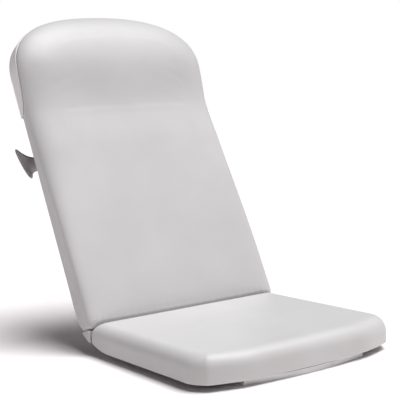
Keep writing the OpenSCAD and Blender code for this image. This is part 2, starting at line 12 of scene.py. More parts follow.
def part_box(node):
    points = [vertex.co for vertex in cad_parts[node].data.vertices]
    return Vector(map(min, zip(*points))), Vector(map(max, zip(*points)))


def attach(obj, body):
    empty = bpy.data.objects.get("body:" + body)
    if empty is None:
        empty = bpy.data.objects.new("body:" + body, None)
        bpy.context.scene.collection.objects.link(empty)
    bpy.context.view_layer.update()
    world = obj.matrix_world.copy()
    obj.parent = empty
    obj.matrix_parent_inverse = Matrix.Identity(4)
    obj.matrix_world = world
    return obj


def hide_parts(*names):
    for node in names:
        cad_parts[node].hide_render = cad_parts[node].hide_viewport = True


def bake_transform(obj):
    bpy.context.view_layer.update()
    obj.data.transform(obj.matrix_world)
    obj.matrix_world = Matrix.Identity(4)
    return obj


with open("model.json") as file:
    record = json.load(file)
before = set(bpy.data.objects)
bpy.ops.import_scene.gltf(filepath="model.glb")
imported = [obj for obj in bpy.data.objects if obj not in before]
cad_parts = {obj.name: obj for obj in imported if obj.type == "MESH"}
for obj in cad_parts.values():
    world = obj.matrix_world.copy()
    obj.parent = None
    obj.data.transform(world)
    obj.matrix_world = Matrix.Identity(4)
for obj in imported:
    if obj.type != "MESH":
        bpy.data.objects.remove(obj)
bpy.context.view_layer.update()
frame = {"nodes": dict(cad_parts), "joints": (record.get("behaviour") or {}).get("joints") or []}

# ---------- sizes, in millimetres, from the frame ----------

joints = {j["name"]: j for j in frame["joints"]}
hinge = [1000 * c for c in joints["recline"]["pos_m"]]
LEAN = math.asin(joints["lock_travel"]["axis"][1])
SIN, COS = math.sin(LEAN), math.cos(LEAN)

seat_low, seat_high = [[1000 * c for c in corner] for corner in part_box("seat_cover")]
SEAT_TOP = seat_high[2]
THICK = SEAT_TOP - seat_low[2]
HINGE_D = SEAT_TOP - hinge[2]
HALF_ANGLE = math.pi / 4 + LEAN / 2
HINGE_Y = HINGE_D / math.tan(HALF_ANGLE)
CREASE_Y = hinge[1] - HINGE_Y
SEAT_HALF = seat_high[0]
SEAT_DEPTH = CREASE_Y - seat_low[1]
FRONT_BOW = 20
SEAT_CORNER = 58
SEAT_EDGE = 28

BACK_HALF = 1000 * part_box("back_cover")[1].x
BACK_LEN = 741
HEAD_H = 148
HEAD_POWER = 2 / 2.4
HEAD_ROLL = 16.5
CAP_LOW = 502
CAP_T = 2.5
CAP_GAP = 0.3

PADDLE_X, PADDLE_U = -212, 396
MITRE_GAP = 1.0

# ---------- camera, stage and light ----------

CAMERA_AT = (-1.21657, -1.6921, 0.52365)
CAMERA_FORWARD = (0.5569, 0.8247, -0.0989)
CAMERA_RIGHT = (0.8248, -0.5631, -0.0515)
LENS = 92.5
SKY = 0.07
SUN = 3.85
SUN_FROM = (0.24, -0.17, 0.955)
SUN_SPREAD = 42


def add_camera():
    """Viewpoint low in front of the seat and off to its left."""
    data = bpy.data.cameras.new("camera")
    data.sensor_width = 36
    data.lens = LENS
    data.clip_end = 60
    camera = bpy.data.objects.new("camera", data)
    forward = Vector(CAMERA_FORWARD).normalized()
    right = Vector(CAMERA_RIGHT).normalized()
    up = right.cross(forward)
    turn = Matrix((right, up, -forward)).transposed().to_4x4()
    camera.matrix_world = Matrix.Translation(CAMERA_AT) @ turn
    bpy.context.scene.collection.objects.link(camera)
    bpy.context.scene.camera = camera


def add_stage():
    """A seamless pale floor, wide enough to run out to the horizon."""
    turns = 96
    radii = [0.6, 1.2, 2.4, 5, 10, 20, 40]
    points, faces = [(0.0, 0.0, 0.0)], []
    for r in radii:
        for k in range(turns):
            a = 2 * math.pi * k / turns
            points.append((r * math.cos(a), r * math.sin(a), 0.0))
    for k in range(turns):
        faces.append((0, 1 + k, 1 + (k + 1) % turns))
    for i in range(len(radii) - 1):
        for k in range(turns):
            a, b = 1 + i * turns + k, 1 + i * turns + (k + 1) % turns
            faces.append((a, a + turns, b + turns, b))
    floor = add_piece("studio_floor", points, faces)
    floor.data.materials.append(floor_material())


def add_sky():
    """A dim even sky, which the camera itself sees as white."""
    world = bpy.data.worlds.new("studio")
    world.use_nodes = True
    tree = world.node_tree
    sky = tree.nodes["Background"]
    sky.inputs["Color"].default_value = (1, 1, 1, 1)
    sky.inputs["Strength"].default_value = SKY
    shown = tree.nodes.new("ShaderNodeBackground")
    shown.inputs["Color"].default_value = (1, 1, 1, 1)
    seen = tree.nodes.new("ShaderNodeLightPath")
    mix = tree.nodes.new("ShaderNodeMixShader")
    tree.links.new(seen.outputs["Is Camera Ray"], mix.inputs["Fac"])
    tree.links.new(sky.outputs["Background"], mix.inputs[1])
    tree.links.new(shown.outputs["Background"], mix.inputs[2])
    tree.links.new(mix.outputs["Shader"], tree.nodes["World Output"].inputs["Surface"])
    bpy.context.scene.world = world


def add_sun():
    """One broad soft light from above, a little in front and to the seat's right."""
    data = bpy.data.lights.new("soft_sun", "SUN")
    data.energy = SUN
    data.angle = math.radians(SUN_SPREAD)
    lamp = bpy.data.objects.new("soft_sun", data)
    lamp.rotation_mode = "QUATERNION"
    lamp.rotation_quaternion = Vector(SUN_FROM).to_track_quat("Z", "Y")
    bpy.context.scene.collection.objects.link(lamp)


def set_view():
    """Plain colours, with no film look."""
    view = bpy.context.scene.view_settings
    view.view_transform = "Standard"
    view.look = "None"
    view.exposure = 0
    view.gamma = 1


# ---------- materials ----------


class Nodes:
    """Short calls for building one material's node tree."""

    def __init__(self, name):
        self.material = bpy.data.materials.new(name)
        self.material.use_nodes = True
        self.tree = self.material.node_tree
        self.shader = self.tree.nodes["Principled BSDF"]
        self.place = self.add("ShaderNodeTexCoord").outputs["Object"]

    def add(self, kind, **values):
        node = self.tree.nodes.new(kind)
        for key, value in values.items():
            if hasattr(node, key):
                setattr(node, key, value)
            else:
                node.inputs[key.replace("_", " ")].default_value = value
        return node

    def link(self, source, target):
        self.tree.links.new(source, target)

    def stretched(self, scale):
        """Object coordinates scaled along each axis."""
        mapping = self.add("ShaderNodeMapping")
        mapping.inputs["Scale"].default_value = scale
        self.link(self.place, mapping.inputs["Vector"])
        return mapping.outputs["Vector"]

    def noise(self, scale, detail=3.0, vector=None):
        node = self.add("ShaderNodeTexNoise", Scale=scale, Detail=detail)
        self.link(vector or self.place, node.inputs["Vector"])
        return node.outputs["Fac"]

    def cells(self, scale, feature="F1", vector=None):
        node = self.add("ShaderNodeTexVoronoi", Scale=scale, feature=feature)
        self.link(vector or self.place, node.inputs["Vector"])
        return node.outputs["Distance"]

    def ranged(self, source, low, high, from_low=0.0, from_high=1.0):
        node = self.add("ShaderNodeMapRange")
        node.inputs["From Min"].default_value = from_low
        node.inputs["From Max"].default_value = from_high
        node.inputs["To Min"].default_value = low
        node.inputs["To Max"].default_value = high
        self.link(source, node.inputs["Value"])
        return node.outputs["Result"]

    def sum(self, a, b):
        node = self.add("ShaderNodeMath", operation="ADD")
        self.link(a, node.inputs[0])
        self.link(b, node.inputs[1])
        return node.outputs[0]

    def colours(self, source, stops):
        ramp = self.add("ShaderNodeValToRGB")
        elements = ramp.color_ramp.elements
        elements[0].position, elements[0].color = stops[0][0], (*stops[0][1], 1)
        elements[1].position, elements[1].color = stops[-1][0], (*stops[-1][1], 1)
        for position, colour in stops[1:-1]:
            elements.new(position).color = (*colour, 1)
        self.link(source, ramp.inputs["Fac"])
        self.link(ramp.outputs["Color"], self.shader.inputs["Base Color"])

    def rough(self, source, low, high):
        self.link(self.ranged(source, low, high), self.shader.inputs["Roughness"])

    def bump(self, height, depth_mm, strength=1.0):
        node = self.add("ShaderNodeBump", Strength=strength, Distance=depth_mm / 1000)
        self.link(height, node.inputs["Height"])
        self.link(node.outputs["Normal"], self.shader.inputs["Normal"])

    def set(self, **values):
        for key, value in values.items():
            self.shader.inputs[key.replace("_", " ")].default_value = value


def shades(colour, spread):
    """A darker, a plain and a lighter version of one colour."""
    return [tuple(c * k for c in colour) for k in (1 - spread, 1, 1 + spread)]


def vinyl(name, colour, spread=0.035, grain=1.0):
    """Smooth upholstery vinyl: fine pebbled grain, faint handling marks and slow tone changes."""
    n = Nodes(name)
    low, mid, high = shades(colour, spread)
    n.colours(n.noise(7.0, 4.0), [(0.3, low), (0.5, mid), (0.7, high)])
    pebbles = n.ranged(n.cells(780, "SMOOTH_F1"), 0.0, 0.55)
    pores = n.ranged(n.noise(1900, 2.0), 0.0, 0.25)
    rumple = n.ranged(n.noise(22, 2.0), 0.0, 2.4)
    n.bump(n.sum(n.sum(pebbles, pores), rumple), 0.16 * grain, 0.5)
    n.rough(n.noise(45, 4.0), 0.40, 0.54)
    n.set(Specular_IOR_Level=0.42, Coat_Weight=0.06, Coat_Roughness=0.35, Sheen_Weight=0.06)
    return n.material


def moulded(name, colour, spread=0.03, low=0.34, high=0.48):
    """Moulded plastic with a fine spark texture and faint flow marks."""
    n = Nodes(name)
    tones = shades(colour, spread)
    flow = n.noise(5, 3.0, n.stretched((1.0, 1.0, 0.35)))
    n.colours(flow, [(0.32, tones[0]), (0.5, tones[1]), (0.68, tones[2])])
    n.bump(n.sum(n.noise(1500, 2.0), n.ranged(n.noise(30, 2.0), 0, 0.8)), 0.06, 0.5)
    n.rough(n.noise(120, 3.0), low, high)
    n.set(Specular_IOR_Level=0.45)
    return n.material


def painted(name, colour):
    """Powder coat: orange peel, with faint scuffs."""
    n = Nodes(name)
    tones = shades(colour, 0.03)
    n.colours(n.noise(14, 5.0), [(0.3, tones[0]), (0.5, tones[1]), (0.7, tones[2])])
    n.bump(n.sum(n.noise(620, 2.0), n.ranged(n.cells(330), 0, 0.5)), 0.08, 0.6)
    n.rough(n.noise(60, 5.0), 0.32, 0.5)
    return n.material


def metal(name, colour, low, high, spread=0.06):
    """Drawn steel with fine lines and a mottled oxide tone."""
    n = Nodes(name)
    tones = shades(colour, spread)
    n.colours(n.noise(90, 4.0), [(0.3, tones[0]), (0.5, tones[1]), (0.7, tones[2])])
    lines = n.noise(60, 4.0, n.stretched((1.0, 28.0, 28.0)))
    n.bump(lines, 0.03, 0.5)
    n.rough(n.noise(240, 3.0), low, high)
    n.set(Metallic=1.0)
    return n.material


def plywood():
    """Birch ply: long grain on the faces and thin plies on the edges."""
    n = Nodes("plywood")
    grain = n.noise(14, 6.0, n.stretched((1.0, 7.0, 30.0)))
    n.colours(grain, [(0.3, (0.36, 0.23, 0.12)), (0.5, (0.55, 0.38, 0.21)), (0.72, (0.66, 0.49, 0.3))])
    n.bump(n.noise(120, 4.0, n.stretched((1.0, 12.0, 12.0))), 0.1, 0.5)
    n.rough(grain, 0.55, 0.75)
    return n.material


def foam():
    """Open-cell cushion foam."""
    n = Nodes("foam")
    n.colours(n.noise(30, 5.0), [(0.3, (0.72, 0.62, 0.36)), (0.7, (0.86, 0.77, 0.5))])
    n.bump(n.sum(n.cells(520), n.noise(900, 3.0)), 0.5, 0.8)
    n.rough(n.noise(200, 2.0), 0.85, 0.95)
    return n.material


def rubber(name, colour):
    """Matt rubber with a chalky bloom."""
    n = Nodes(name)
    tones = shades(colour, 0.2)
    n.colours(n.noise(50, 5.0), [(0.3, tones[0]), (0.5, tones[1]), (0.7, tones[2])])
    n.bump(n.noise(900, 3.0), 0.06, 0.6)
    n.rough(n.noise(150, 3.0), 0.6, 0.78)
    return n.material


def woven(name, colour):
    """Non-woven dust cloth: bonded points on a fibrous felt."""
    n = Nodes(name)
    tones = shades(colour, 0.25)
    fibres = n.noise(260, 6.0)
    n.colours(fibres, [(0.3, tones[0]), (0.5, tones[1]), (0.7, tones[2])])
    n.bump(n.sum(n.ranged(n.cells(420), 1.0, 0.0), fibres), 0.2, 0.8)
    n.rough(fibres, 0.85, 0.96)
    n.set(Sheen_Weight=0.25)
    return n.material


def floor_material():
    """Matt pale paper with a slow change of tone."""
    n = Nodes("studio_floor")
    n.colours(n.noise(1.2, 2.0), [(0.2, (0.94, 0.90, 0.91)), (0.8, (0.96, 0.92, 0.93))])
    n.rough(n.noise(3, 2.0), 0.85, 0.95)
    return n.material


PALE = (0.60, 0.592, 0.592)


def make_materials():
    """Every material, under the name of the slot that it fills."""
    return {
        "seat_vinyl": vinyl("seat_vinyl", PALE),
        "back_vinyl": vinyl("back_vinyl", PALE),
        "gusset_vinyl": vinyl("gusset_vinyl", (0.56, 0.55, 0.55), grain=1.3),
        "cap_shell": moulded("cap_shell", (0.86, 0.83, 0.84)),
        "rear_panel": vinyl("rear_panel", (0.62, 0.61, 0.61), grain=1.2),
        "foam": foam(),
        "plywood": plywood(),
        "tray_paint": painted("tray_paint", (0.84, 0.84, 0.85)),
        "gasket_rubber": rubber("gasket_rubber", (0.06, 0.06, 0.062)),
        "dust_cloth": woven("dust_cloth", (0.045, 0.045, 0.048)),
        "steel": metal("steel", (0.62, 0.62, 0.63), 0.28, 0.42),
        "black_steel": metal("black_steel", (0.08, 0.08, 0.085), 0.35, 0.5, 0.2),
        "nylon": moulded("nylon", (0.72, 0.69, 0.6)),
        "paddle_plastic": moulded("paddle_plastic", (0.33, 0.3, 0.31), 0.12, 0.36, 0.5),
        "brass_lever": metal("brass_lever", (0.68, 0.5, 0.22), 0.28, 0.42),
        "cable_black": rubber("cable_black", (0.02, 0.02, 0.021)),
    }


# ---------- forms shared with the CAD, in millimetres ----------


def smooth(s):
    """Eases from 0 at 0 to 1 at 1."""
    c = np.clip(s, 0, 1)
    return c * c * (3 - 2 * c)


def along_back(u, v):
    """Y and Z from the crease of a point at height u up the back and depth v behind its front."""
    return np.array([u * SIN + v * COS, u * COS - v * SIN])


def back_to_row(points):
    """Points held as X, height and depth on the back, in the row frame in metres."""
    x, u, v = np.asarray(points, float).T
    y, z = along_back(u, v)
    return np.column_stack([x, CREASE_Y + y, SEAT_TOP + z]) / 1000


def seat_to_row(points):
    """Points held as X, Y from the crease and Z from the seat's top, in the row frame in metres."""
    return (np.asarray(points, float) + [0, CREASE_Y, SEAT_TOP]) / 1000


CORNER_TIP = np.array([THICK / math.tan(HALF_ANGLE), -THICK])
CORNER_START = CORNER_TIP - [125, 0]
CORNER_END = along_back(35, THICK)


def corner(t):
    """Rounded outer corner between the seat's underside and the back's rear."""
    t = np.asarray(t, float)[..., None]
    return CORNER_START * (1 - t) ** 2 + CORNER_TIP * 2 * t * (1 - t) + CORNER_END * t**2


CORNER_LINE = corner(np.linspace(0, 1, 401))


def seat_rear(z):
    """How far back the seat reaches at height z below its top."""
    if z > -HINGE_D:
        return HINGE_Y * -z / HINGE_D
    reach = np.interp(z, CORNER_LINE[:, 1], CORNER_LINE[:, 0])
    return min(HINGE_Y, reach)


def back_low(v):
    """Height of the back's lower end at depth v."""
    if v < HINGE_D:
        return -HINGE_Y * v / HINGE_D
    heights = CORNER_LINE @ [SIN, COS]
    depths = CORNER_LINE @ [COS, -SIN]
    return max(-HINGE_Y, float(np.interp(v, depths, heights)))


def back_front(u):
    """Depth of the back's front: flat, a slight hollow, then the head roll."""
    below = 3 * smooth((u - 400) / 90) - (3 + HEAD_ROLL) * smooth((u - 490) / 130)
    above = -HEAD_ROLL + (HEAD_ROLL + 2) * np.clip((u - 620) / (BACK_LEN - 620), 0, 1) ** 2
    return np.where(u < 620, below, above)


def edge_width(u):
    """How far in from the back's side its rounded edge reaches, at height u."""
    return 28 + 42 * smooth((u - 60) / 420)


def edge_depth(u):
    """How deep the back's rounded edge is, at height u."""
    return 12 + 20 * smooth((u - 100) / 400)


# ---------- building closed forms from loops ----------

ACROSS = 84


def resampled(points, count):
    """The polyline's points moved to count equal steps along it."""
    points = np.asarray(points, float)
    steps = np.linalg.norm(np.diff(points, axis=0), axis=1)
    run = np.concatenate([[0], np.cumsum(steps)])
    where = np.linspace(0, run[-1], count + 1)
    return np.column_stack([np.interp(where, run, c) for c in points.T])


def closed_loop(bottom, side, top):
    """A loop from the bottom run, the right side, the top run and the mirrored left side."""
    left = side[::-1] * [-1, 1]
    return np.vstack([bottom[:-1], side[:-1], top[:-1], left[:-1]])


def patch(loop, across, up):
    """Inner points of the surface that fills a loop, by blending its four sides."""
    c = across
    bottom = loop[: c + 1]
    right = loop[c : c + up + 1]
    top = loop[c + up : 2 * c + up + 1][::-1]
    left = np.vstack([loop[2 * c + up :], loop[:1]])[::-1]
    s = np.linspace(0, 1, c + 1)[None, 1:-1, None]
    t = np.linspace(0, 1, up + 1)[1:-1, None, None]
    sides = (1 - s) * left[1:-1, None] + s * right[1:-1, None]
    ends = (1 - t) * bottom[None, 1:-1] + t * top[None, 1:-1]
    corners = (1 - s) * (1 - t) * bottom[0] + s * (1 - t) * bottom[-1]
    corners = corners + (1 - s) * t * top[0] + s * t * top[-1]
    return sides + ends - corners


def patch_faces(first, inner, count, across, up):
    """Quads between a loop's vertices, from first, and the patch's, from inner."""

    def vertex(i, j):
        if j == 0:
            return first + i
        if i == across:
            return first + across + j
        if j == up:
            return first + 2 * across + up - i
        if i == 0:
            return first + (2 * (across + up) - j) % count
        return inner + (j - 1) * (across - 1) + i - 1

    faces = []
    for j in range(up):
        for i in range(across):
            faces.append([vertex(i, j), vertex(i + 1, j), vertex(i + 1, j + 1), vertex(i, j + 1)])
    return faces


def add_piece(name, points, faces):
    """New piece with its faces turned outwards."""
    mesh = bpy.data.meshes.new(name)
    mesh.from_pydata(np.asarray(points, float).tolist(), [], faces)
    shape = bmesh.new()
    shape.from_mesh(mesh)
    bmesh.ops.recalc_face_normals(shape, faces=shape.faces)
    shape.to_mesh(mesh)
    shape.free()
    piece = bpy.data.objects.new(name, mesh)
    bpy.context.scene.collection.objects.link(piece)
    return piece


def closed_form(name, loops, across, place, shape_front=None, shape_rear=None):
    """Closed mesh through loops of equal length, each end filled with a patch.

    The loops are in the form's own millimetres, and place takes them to the row frame. The
    front end is the last loop's. Returns the object, its points in the form's millimetres and
    the number of points that lie on the loops.
    """
    count = len(loops[0])
    up = count // 2 - across
    points = [np.asarray(loop, float) for loop in loops]
    on_loops = count * len(loops)
    rear = patch(points[0], across, up).reshape(-1, 3)
    front = patch(points[-1], across, up).reshape(-1, 3)
    if shape_rear is not None:
        rear = shape_rear(rear)
    if shape_front is not None:
        front = shape_front(front)
    faces = []
    for i in range(len(loops) - 1):
        for k in range(count):
            a, b = i * count + k, i * count + (k + 1) % count
            faces.append([a, b, b + count, a + count])
    faces += patch_faces(0, on_loops, count, across, up)
    faces += patch_faces(on_loops - count, on_loops + len(rear), count, across, up)
    form = np.vstack([*points, rear, front])
    return add_piece(name, place(form), faces), form, on_loops


def vertices(piece):
    """The piece's vertices, one row each, in metres."""
    co = np.zeros(len(piece.data.vertices) * 3)
    piece.data.vertices.foreach_get("co", co)
    return co.reshape(-1, 3)


def move_vertices(piece, points):
    piece.data.vertices.foreach_set("co", np.asarray(points, float).ravel())
    piece.data.update()


def settle(piece):
    """Applies the piece's modifiers to its mesh."""
    graph = bpy.context.evaluated_depsgraph_get()
    mesh = bpy.data.meshes.new_from_object(piece.evaluated_get(graph))
    old = piece.data
    piece.modifiers.clear()
    piece.data = mesh
    bpy.data.meshes.remove(old)
    mesh.name = piece.name


def subdivide(piece, levels=1):
    modifier = piece.modifiers.new("subdivision", "SUBSURF")
    modifier.levels = levels
    modifier.render_levels = levels
    settle(piece)


LAST_FRAME = 20


def inflate(piece, held, pressure, most_mm):
    """Swells a cushion with a cloth simulation; held is how firmly each point is stapled."""
    start = vertices(piece)
    group = piece.vertex_groups.new(name="stapled")
    for level in np.unique(np.round(held, 1)):
        if level > 0:
            chosen = np.nonzero(np.round(held, 1) == level)[0].tolist()
            group.add(chosen, float(level), "REPLACE")
    modifier = piece.modifiers.new("cloth", "CLOTH")
    settings = modifier.settings
    settings.quality = 4
    settings.mass = 0.3
    settings.use_pressure = True
    settings.uniform_pressure_force = pressure
    settings.effector_weights.gravity = 0
    settings.vertex_group_mass = "stapled"
    modifier.point_cache.frame_start = 1
    modifier.point_cache.frame_end = LAST_FRAME
    scene = bpy.context.scene
    for number in range(LAST_FRAME + 1):
        scene.frame_set(number)
    graph = bpy.context.evaluated_depsgraph_get()
    swollen = np.array([v.co for v in piece.evaluated_get(graph).data.vertices])
    piece.modifiers.clear()
    scene.frame_set(1)
    moved = swollen - start
    length = np.linalg.norm(moved, axis=1, keepdims=True) + 1e-9
    most = most_mm / 1000
    kept = moved * most / (most + length) * (1 - np.clip(held, 0, 1))[:, None]
    move_vertices(piece, start + kept)


def finish_piece(piece, slot, body=None):
    """Smooth shading, the slot's material, and the body that the piece rides on."""
    piece.data.shade_smooth()
    piece.data.materials.clear()
    piece.data.materials.append(MATERIALS[slot])
    if body:
        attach(piece, body)
    return piece


# ---------- back cushion ----------

BACK_UP = 118
ROUND_STEPS = 9
WALL_STEPS = 7


def back_loop(inset, f, low):
    """Loop round the back at rounding part f and lower end low, as X and height."""
    base = BACK_LEN - HEAD_H
    e = f * float(edge_width(base))
    w = BACK_HALF - inset
    heights = np.linspace(low, base, 90)
    # The lower corners are rounded where the cover turns onto the end
    tuck = 5 * np.clip(1 - (heights - low) / 9, 0, 1) ** 2
    straight = np.column_stack([w - f * edge_width(heights) - tuck, heights])
    angles = np.radians(np.linspace(0, 90, 91))
    arc = np.column_stack([
        (w - e) * np.cos(angles) ** HEAD_POWER,
        base + (HEAD_H - inset - e) * np.sin(angles) ** HEAD_POWER,
    ])
    arc[-1, 0] = 0
    half_way = 45
    side = resampled(np.vstack([straight, arc[1 : half_way + 1]]), BACK_UP)
    quarter = arc[half_way:]
    top = resampled(np.vstack([quarter, quarter[-2::-1] * [-1, 1]]), ACROSS)
    bottom = np.column_stack([
        np.linspace(-side[0, 0], side[0, 0], ACROSS + 1),
        np.full(ACROSS + 1, side[0, 1]),
    ])
    return closed_loop(bottom, side, top)


def with_depth(loop, depth):
    """The loop's points with a third number, the same for all or one for each."""
    return np.column_stack([loop, np.broadcast_to(depth, len(loop))])


def back_rings():
    """Loops from the recess behind the back, over its edges, to the edge of its front."""
    recess = THICK - 1.6
    rings = []
    for inset, depth in [(26.5, recess), (25.6, recess), (24.9, THICK - 0.4), (23.5, THICK)]:
        rings.append(with_depth(back_loop(inset, 0, back_low(THICK) + inset), depth))
    for inset in (16, 9):
        rings.append(with_depth(back_loop(inset, 0, back_low(THICK) + inset), THICK))
    rear_r = 4
    for a in np.radians([15, 35, 55, 75, 90]):
        inset = rear_r * (1 - math.sin(a))
        depth = THICK - rear_r * (1 - math.cos(a))
        rings.append(with_depth(back_loop(inset, 0, back_low(depth) + MITRE_GAP + inset), depth))
    for q in np.linspace(0, 1, WALL_STEPS + 1)[1:-1]:
        loop = back_loop(0, 0, back_low(52 + (12 - 52) * q) + MITRE_GAP)
        wall = back_front(loop[:, 1]) + edge_depth(loop[:, 1])
        rings.append(with_depth(loop, 52 + (wall - 52) * q))
    for a in np.radians(np.linspace(0, 90, ROUND_STEPS)):
        f = 1 - math.cos(a)
        low = back_low(12 * (1 - math.sin(a))) + MITRE_GAP + 5 * f
        loop = back_loop(0, f, low)
        depth = back_front(loop[:, 1]) + edge_depth(loop[:, 1]) * (1 - math.sin(a))
        rings.append(with_depth(loop, depth))
    return rings


def on_front(points):
    """Lays the points on the back's front."""
    points[:, 2] = back_front(points[:, 1])
    return points


def gathers(points, distance, spread, amount, pitch):
    """Heights of small gathers that run across a seam and fade with distance from it."""
    x = points[:, 0]
    phase = 2 * np.pi * x / pitch + 1.7 * np.sin(x / 41.0)
    near_ends = 0.25 + 0.75 * smooth((np.abs(x) - 150) / 80)
    return amount * np.sin(phase) * np.exp(-np.clip(distance, 0, None) / spread) * near_ends


HEAD_SWELL = 2.1


def head_swell(points):
    """Sideways and upward swell of the cushion's wall, just in front of the head cap's rim."""
    x, u, v = points.T
    base = BACK_LEN - HEAD_H
    over = np.clip(u - base, 0, None) / HEAD_H
    sideways = np.sign(x) * (np.abs(x) / BACK_HALF) ** 1.4 / BACK_HALF
    outward = np.column_stack([sideways, over**1.4 / HEAD_H])
    outward /= np.linalg.norm(outward, axis=1, keepdims=True) + 1e-9
    beside_cap = smooth((u - CAP_LOW - 8) / 34)
    before_rim = smooth((cap_rim(u) + 0.5 - v) / 7)
    on_wall = smooth((v - back_front(u)) / (0.75 * edge_depth(u)))
    return outward * (HEAD_SWELL * beside_cap * before_rim * on_wall)[:, None]


BACK_PRESSURE = 4.0
BACK_SWELL = 6.0


def make_back_cushion():
    """Padded back cover, swollen in front and held flat along its wall and rear."""
    rings = back_rings()
    piece, form, on_loops = closed_form("back_cushion", rings, ACROSS, back_to_row, on_front)
    count = len(rings[0])
    held = np.ones(len(form))
    first_round = (len(rings) - ROUND_STEPS) * count
    for k in range(ROUND_STEPS):
        start = first_round + k * count
        held[start : start + count] = 1 - 0.9 * k / (ROUND_STEPS - 1)
    front = form[:, 2] < back_front(form[:, 1]) + 1e-6
    front[:on_loops] = False
    held[front] = 0
    inflate(piece, held, BACK_PRESSURE, BACK_SWELL)
    subdivide(piece)
    # Gathers run up from the crease seam
    form = row_to_back(vertices(piece))
    facing = smooth(1 - (form[:, 2] - back_front(form[:, 1])) / 10)
    form[:, 2] -= gathers(form, form[:, 1], 9, 0.55, 17) * facing
    form[:, :2] += head_swell(form)
    move_vertices(piece, back_to_row(form))
    cut_room(piece, PADDLE_ROOM)
    cut_room(piece, LOCK_ROOM)
    finish_piece(piece, "back_vinyl", "backrest")
    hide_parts("back_cover")
    return piece


def row_to_back(points):
    """Row frame points in metres, as X, height and depth on the back in millimetres."""
    x, y, z = (np.asarray(points) * 1000).T
    y = y - CREASE_Y
    z = z - SEAT_TOP
    return np.column_stack([x, y * SIN + z * COS, y * COS - z * SIN])


# Opposite corners, as X, height and depth on the back
PADDLE_ROOM = (-231.5, 371, 46), (-192.5, 421, 70)
LOCK_ROOM = (-12.5, -40, 9.5), (12.5, 90, 44.5)


def cut_room(piece, room):
    """Opens a box-shaped room in a cover, for a part that stands in it."""
    low, high = room
    corners = [
        (x, u, v) for x in (low[0], high[0]) for u in (low[1], high[1]) for v in (low[2], high[2])
    ]
    faces = [(0, 1, 3, 2), (4, 6, 7, 5), (0, 4, 5, 1), (2, 3, 7, 6), (0, 2, 6, 4), (1, 5, 7, 3)]
    cutter = add_piece("room", back_to_row(corners), faces)
    modifier = piece.modifiers.new("room", "BOOLEAN")
    modifier.operation = "DIFFERENCE"
    modifier.object = cutter
    settle(piece)
    bpy.data.objects.remove(cutter)


# ---------- seat cushion ----------

SEAT_UP = 64


def spline(points, count):
    """Smooth curve through the points, as a dense polyline."""
    p = np.asarray(points, float)
    p = np.vstack([2 * p[0] - p[1], p, 2 * p[-1] - p[-2]])
    line = []
    for i in range(1, len(p) - 2):
        for t in np.linspace(0, 1, count, endpoint=False):
            a = 2 * p[i]
            b = p[i + 1] - p[i - 1]
            c = 2 * p[i - 1] - 5 * p[i] + 4 * p[i + 1] - p[i + 2]
            d = -p[i - 1] + 3 * p[i] - 3 * p[i + 1] + p[i + 2]
            line.append(0.5 * (a + b * t + c * t**2 + d * t**3))
    line.append(p[-2])
    return np.array(line)


def seat_loop(inset, e, z):
    """Loop round the seat at height z, drawn in by an edge rounding e, as X and Y."""
    w = SEAT_HALF - inset - e
    r = max(SEAT_CORNER - inset - e, 6)
    front = SEAT_DEPTH - FRONT_BOW - inset - e
    rear = seat_rear(z) - MITRE_GAP - 0.35 * e
    angles = np.radians([0, 15, 30, 45, 60])
    turn = [(w - r + r * math.cos(a), -front + r - r * math.sin(a)) for a in angles]
    edge = [(w * k, -front - FRONT_BOW * (1 - k * k)) for k in (0.62, 0.4, 0.16)]
    steps = 12
    half = spline([(w, -front * 0.7), *turn, *edge, (-w * 0.16, edge[-1][1])], steps)
    half = half[: steps * 8]
    split = steps * 4
    # The rear corners are rounded where the cover turns into the crease
    turned_in = [(4, 0), (2.6, 0.5), (1.0, 2), (0.2, 4.5), (0, 8)]
    tuck = [(w - across, rear - along) for across, along in turned_in]
    side = resampled(np.vstack([tuck, half[: split + 1]]), SEAT_UP)
    quarter = np.vstack([half[split:], [(0, -front - FRONT_BOW)]])
    top = resampled(np.vstack([quarter, quarter[-2::-1] * [-1, 1]]), ACROSS)
    bottom = np.column_stack([np.linspace(4 - w, w - 4, ACROSS + 1), np.full(ACROSS + 1, rear)])
    return closed_loop(bottom, side, top)


def seat_rings():
    """Loops from the recess under the seat, round its edges, to the edge of its top."""
    low = -THICK
    rings = []
    for inset, rise in [(31.5, 1.4), (30.6, 1.4), (29.9, 0.3), (28.5, 0), (18, 0), (11, 0)]:
        rings.append(with_depth(seat_loop(inset, 0, low), low + rise))
    under_r = 6
    for a in np.radians([10, 28, 46, 64, 80, 90]):
        inset = under_r * (1 - math.sin(a))
        z = low + under_r * (1 - math.cos(a))
        rings.append(with_depth(seat_loop(inset, 0, z), z))
    for z in np.linspace(low + under_r, -SEAT_EDGE, 6)[1:-1]:
        rings.append(with_depth(seat_loop(0, 0, z), z))
    for a in np.radians(np.linspace(0, 90, ROUND_STEPS)):
        z = SEAT_EDGE * (math.sin(a) - 1)
        rings.append(with_depth(seat_loop(0, SEAT_EDGE * (1 - math.cos(a)), z), z))
    return rings


def make_seat_cushion():
    """Padded seat cover, with gathers along the crease."""
    piece, _, _ = closed_form("seat_cushion", seat_rings(), ACROSS, seat_to_row)
    subdivide(piece)
    form = vertices(piece) * 1000 - [0, CREASE_Y, SEAT_TOP]
    facing = smooth(1 + form[:, 2] / 9)
    form[:, 2] += gathers(form, -form[:, 1], 10, 0.5, 15) * facing
    move_vertices(piece, seat_to_row(form))
    finish_piece(piece, "seat_vinyl", "seat")
    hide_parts("seat_cover")
    return piece


# ---------- soft corner between the cushions ----------


